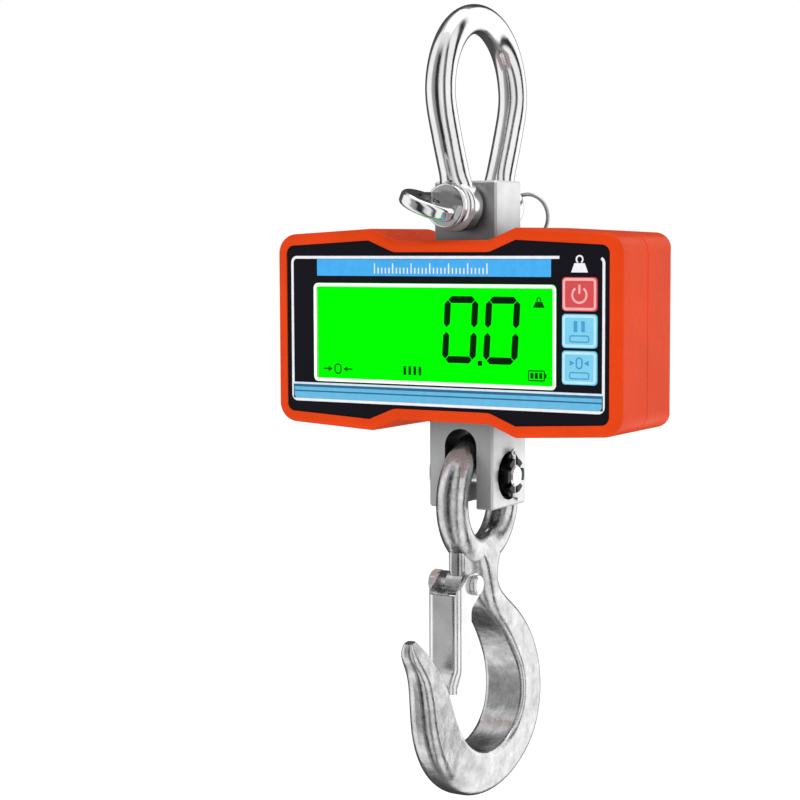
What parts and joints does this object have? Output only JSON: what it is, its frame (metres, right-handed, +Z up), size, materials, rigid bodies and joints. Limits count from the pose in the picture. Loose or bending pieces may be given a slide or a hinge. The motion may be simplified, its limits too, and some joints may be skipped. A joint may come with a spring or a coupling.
{
  "type": "crane scale",
  "caption": "Hanging crane scale with bow shackle, lit display case on a load cell block, and an eye hook with safety latch.",
  "frame": {"origin": "inside of the shackle's crown, on the middle plane, where the scale hangs", "axes": "+Z up, +X to the right of a person reading the display, the display faces -Y"},
  "size_m": [0.1728, 0.117, 0.3589],
  "materials": {
    "polished_steel": "polished stainless bar",
    "spring_steel": "bright drawn wire",
    "milled_aluminium": "milled and satin anodised",
    "plain_aluminium": "plain sheet",
    "gauge_foil": "etched foil on film",
    "orange_plastic": "fine moulded texture",
    "black_rubber": "matt",
    "screw_steel": "zinc plated",
    "printed_panel": "printed polyester film",
    "clear_window": "clear acrylic",
    "green_display": "lit green, dark digits",
    "white_diffuser": "milky diffuser",
    "white_plastic": "natural nylon",
    "green_board": "solder mask",
    "black_plastic": "moulded",
    "grey_cable": "soft sheath",
    "red_cable": "soft sheath",
    "cell_wrap": "printed steel can",
    "zinc_plate": "zinc plated sheet and bar",
    "black_steel": "blackened steel",
    "galvanised_steel": "hot dip galvanised forging",
    "red_key": "embossed film",
    "blue_key": "embossed film"
  },
  "bodies": {
    "shackle": {"shackle_bow": "polished_steel", "shackle_pin": "polished_steel"},
    "keeper": {"keeper_ring": "spring_steel"},
    "case": {"load_cell": "milled_aluminium", "strain_gauges": "gauge_foil", "gauge_covers": "plain_aluminium", "front_cover": "orange_plastic", "rear_cover": "orange_plastic", "case_gasket": "black_rubber", "case_screws": "screw_steel", "upper_seal": "black_rubber", "lower_seal": "black_rubber", "panel_overlay": "printed_panel", "lcd_window": "clear_window", "lcd_glass": "green_display", "lcd_backlight": "white_diffuser", "lcd_frame": "white_plastic", "lcd_contact_strip": "black_rubber", "main_board": "green_board", "board_screws": "screw_steel", "tact_switches": "black_plastic", "board_chips": "black_plastic", "board_connectors": "white_plastic", "beeper": "black_plastic", "ir_receiver": "black_plastic", "gauge_cable": "grey_cable", "battery_leads": "red_cable", "battery_tray": "black_plastic", "battery_cells": "cell_wrap", "battery_springs": "spring_steel", "battery_plates": "spring_steel", "cell_bracket": "zinc_plate", "bracket_screws": "screw_steel", "hook_bolt": "zinc_plate", "bolt_washer": "zinc_plate", "castle_nut": "black_steel", "split_pin": "zinc_plate"},
    "power_button": {"power_key": "red_key"},
    "hold_button": {"hold_key": "blue_key"},
    "zero_button": {"zero_key": "blue_key"},
    "battery_lid": {"battery_door": "orange_plastic", "door_screws": "screw_steel"},
    "hook": {"eye_hook": "galvanised_steel", "latch_pin": "zinc_plate", "latch_nut": "zinc_plate", "latch_spring": "spring_steel"},
    "latch": {"safety_latch": "zinc_plate"}
  },
  "joints": [
    {"name": "case_swing", "type": "hinge", "parent": "shackle", "child": "case", "pos_m": [0, 0, -0.0768], "axis": [0, 1, 0], "range_deg": [-90, 90]},
    {"name": "ring_swing", "type": "hinge", "parent": "shackle", "child": "keeper", "pos_m": [0, 0.0302, -0.0768], "axis": [0.4384, 0, 0.8988], "range_deg": [-8, 185]},
    {"name": "hook_swing", "type": "hinge", "parent": "case", "child": "hook", "pos_m": [0, 0, -0.1978], "axis": [1, 0, 0], "range_deg": [-30, 30]},
    {"name": "latch_pivot", "type": "hinge", "parent": "hook", "child": "latch", "pos_m": [0, -0.018, -0.2458], "axis": [1, 0, 0], "range_deg": [0, 42], "stiffness_Nm_per_rad": 0.04, "springref_deg": -28.65, "deforming": ["latch_spring"]},
    {"name": "power_press", "type": "slide", "parent": "case", "child": "power_button", "axis": [0, 1, 0], "range_m": [0, 0.0006], "stiffness_N_per_m": 60},
    {"name": "hold_press", "type": "slide", "parent": "case", "child": "hold_button", "axis": [0, 1, 0], "range_m": [0, 0.0006], "stiffness_N_per_m": 60},
    {"name": "zero_press", "type": "slide", "parent": "case", "child": "zero_button", "axis": [0, 1, 0], "range_m": [0, 0.0006], "stiffness_N_per_m": 60},
    {"name": "battery_lid_lift", "type": "slide", "parent": "case", "child": "battery_lid", "axis": [0, 1, 0], "range_m": [0, 0.03]}
  ]
}
